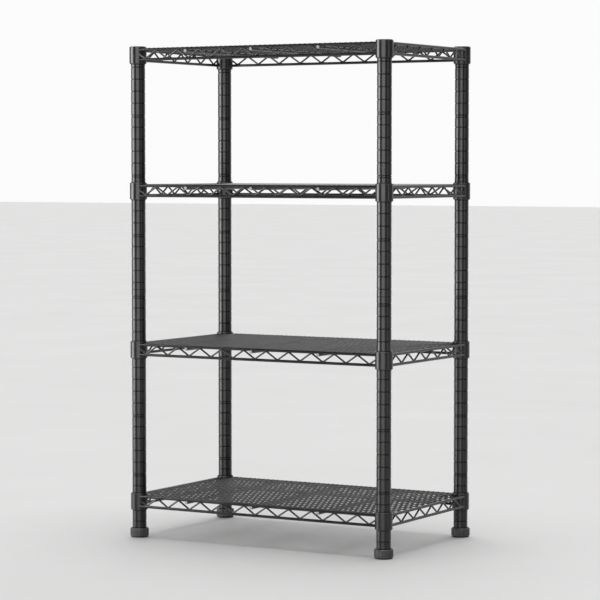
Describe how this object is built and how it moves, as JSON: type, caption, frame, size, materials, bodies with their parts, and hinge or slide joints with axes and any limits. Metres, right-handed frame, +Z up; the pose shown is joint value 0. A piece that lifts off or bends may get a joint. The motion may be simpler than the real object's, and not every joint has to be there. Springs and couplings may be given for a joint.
{
  "type": "wire shelving rack",
  "caption": "Open black wire shelving rack: wire-deck shelves with zigzag-trussed edges slide on round grooved posts and stand on screw-adjustable levelling feet.",
  "frame": {"origin": "on the floor under the centre of the rack", "axes": "+Z up, the long side along X, the front towards -Y"},
  "size_m": [0.6348, 0.3866, 1.0488],
  "materials": {
    "black_coated_steel": "gloss powder coat",
    "black_coated_wire": "satin powder coat",
    "black_plastic": "moulded, satin",
    "foot_plastic": "moulded, fluted and textured",
    "pad_rubber": "matte",
    "zinc_steel": "zinc plated"
  },
  "bodies": {
    "posts": {"post_coupler_inserts": "zinc_steel", "post_coupler_studs": "zinc_steel", "foot_inserts": "zinc_steel", "shelf1_sleeves_left": "black_plastic", "shelf1_sleeves_right": "black_plastic", "shelf2_sleeves_left": "black_plastic", "shelf2_sleeves_right": "black_plastic", "shelf3_sleeves_left": "black_plastic", "shelf3_sleeves_right": "black_plastic", "shelf4_sleeves_left": "black_plastic", "shelf4_sleeves_right": "black_plastic", "post_lower_front_left": "black_coated_steel", "post_upper_front_left": "black_coated_steel", "post_cap_front_left": "black_plastic", "post_lower_front_right": "black_coated_steel", "post_upper_front_right": "black_coated_steel", "post_cap_front_right": "black_plastic", "post_lower_back_left": "black_coated_steel", "post_upper_back_left": "black_coated_steel", "post_cap_back_left": "black_plastic", "post_lower_back_right": "black_coated_steel", "post_upper_back_right": "black_coated_steel", "post_cap_back_right": "black_plastic"},
    "shelf_1": {"shelf1_collars": "black_coated_steel", "shelf1_rails": "black_coated_steel", "shelf1_snake_wires": "black_coated_wire", "shelf1_long_wires": "black_coated_wire", "shelf1_cross_wires": "black_coated_wire", "shelf1_support_bars": "black_coated_wire"},
    "shelf_2": {"shelf2_collars": "black_coated_steel", "shelf2_rails": "black_coated_steel", "shelf2_snake_wires": "black_coated_wire", "shelf2_long_wires": "black_coated_wire", "shelf2_cross_wires": "black_coated_wire", "shelf2_support_bars": "black_coated_wire"},
    "shelf_3": {"shelf3_collars": "black_coated_steel", "shelf3_rails": "black_coated_steel", "shelf3_snake_wires": "black_coated_wire", "shelf3_long_wires": "black_coated_wire", "shelf3_cross_wires": "black_coated_wire", "shelf3_support_bars": "black_coated_wire"},
    "shelf_4": {"shelf4_collars": "black_coated_steel", "shelf4_rails": "black_coated_steel", "shelf4_snake_wires": "black_coated_wire", "shelf4_long_wires": "black_coated_wire", "shelf4_cross_wires": "black_coated_wire", "shelf4_support_bars": "black_coated_wire"},
    "pad_front_left": {"foot_pad_front_left": "pad_rubber"},
    "foot_front_left": {"foot_front_left": "foot_plastic", "foot_stud_front_left": "zinc_steel"},
    "pad_front_right": {"foot_pad_front_right": "pad_rubber"},
    "foot_front_right": {"foot_front_right": "foot_plastic", "foot_stud_front_right": "zinc_steel"},
    "pad_back_left": {"foot_pad_back_left": "pad_rubber"},
    "foot_back_left": {"foot_back_left": "foot_plastic", "foot_stud_back_left": "zinc_steel"},
    "pad_back_right": {"foot_pad_back_right": "pad_rubber"},
    "foot_back_right": {"foot_back_right": "foot_plastic", "foot_stud_back_right": "zinc_steel"}
  },
  "joints": [
    {"name": "shelf_1_lift", "type": "slide", "parent": "posts", "child": "shelf_1", "axis": [0, 0, 1], "range_m": [0, 0.285]},
    {"name": "shelf_2_lift", "type": "slide", "parent": "posts", "child": "shelf_2", "axis": [0, 0, 1], "range_m": [0, 0.295]},
    {"name": "shelf_3_lift", "type": "slide", "parent": "posts", "child": "shelf_3", "axis": [0, 0, 1], "range_m": [0, 0.245]},
    {"name": "shelf_4_lift", "type": "slide", "parent": "posts", "child": "shelf_4", "axis": [0, 0, 1], "range_m": [0, 0.08]},
    {"name": "foot_front_left_extend", "type": "slide", "parent": "posts", "child": "pad_front_left", "axis": [0, 0, -1], "range_m": [0, 0.009]},
    {"name": "foot_front_left_turn", "type": "hinge", "parent": "pad_front_left", "child": "foot_front_left", "pos_m": [-0.2977, -0.1736, 0.01], "axis": [0, 0, -1], "range_deg": [0, 2160]},
    {"name": "foot_front_right_extend", "type": "slide", "parent": "posts", "child": "pad_front_right", "axis": [0, 0, -1], "range_m": [0, 0.009]},
    {"name": "foot_front_right_turn", "type": "hinge", "parent": "pad_front_right", "child": "foot_front_right", "pos_m": [0.2977, -0.1736, 0.01], "axis": [0, 0, -1], "range_deg": [0, 2160]},
    {"name": "foot_back_left_extend", "type": "slide", "parent": "posts", "child": "pad_back_left", "axis": [0, 0, -1], "range_m": [0, 0.009]},
    {"name": "foot_back_left_turn", "type": "hinge", "parent": "pad_back_left", "child": "foot_back_left", "pos_m": [-0.2977, 0.1736, 0.01], "axis": [0, 0, -1], "range_deg": [0, 2160]},
    {"name": "foot_back_right_extend", "type": "slide", "parent": "posts", "child": "pad_back_right", "axis": [0, 0, -1], "range_m": [0, 0.009]},
    {"name": "foot_back_right_turn", "type": "hinge", "parent": "pad_back_right", "child": "foot_back_right", "pos_m": [0.2977, 0.1736, 0.01], "axis": [0, 0, -1], "range_deg": [0, 2160]}
  ],
  "couplings": [
    {"joint": "foot_front_left_extend", "follows": "foot_front_left_turn", "m_per_rad": 0.00023873},
    {"joint": "foot_front_right_extend", "follows": "foot_front_right_turn", "m_per_rad": 0.00023873},
    {"joint": "foot_back_left_extend", "follows": "foot_back_left_turn", "m_per_rad": 0.00023873},
    {"joint": "foot_back_right_extend", "follows": "foot_back_right_turn", "m_per_rad": 0.00023873}
  ]
}
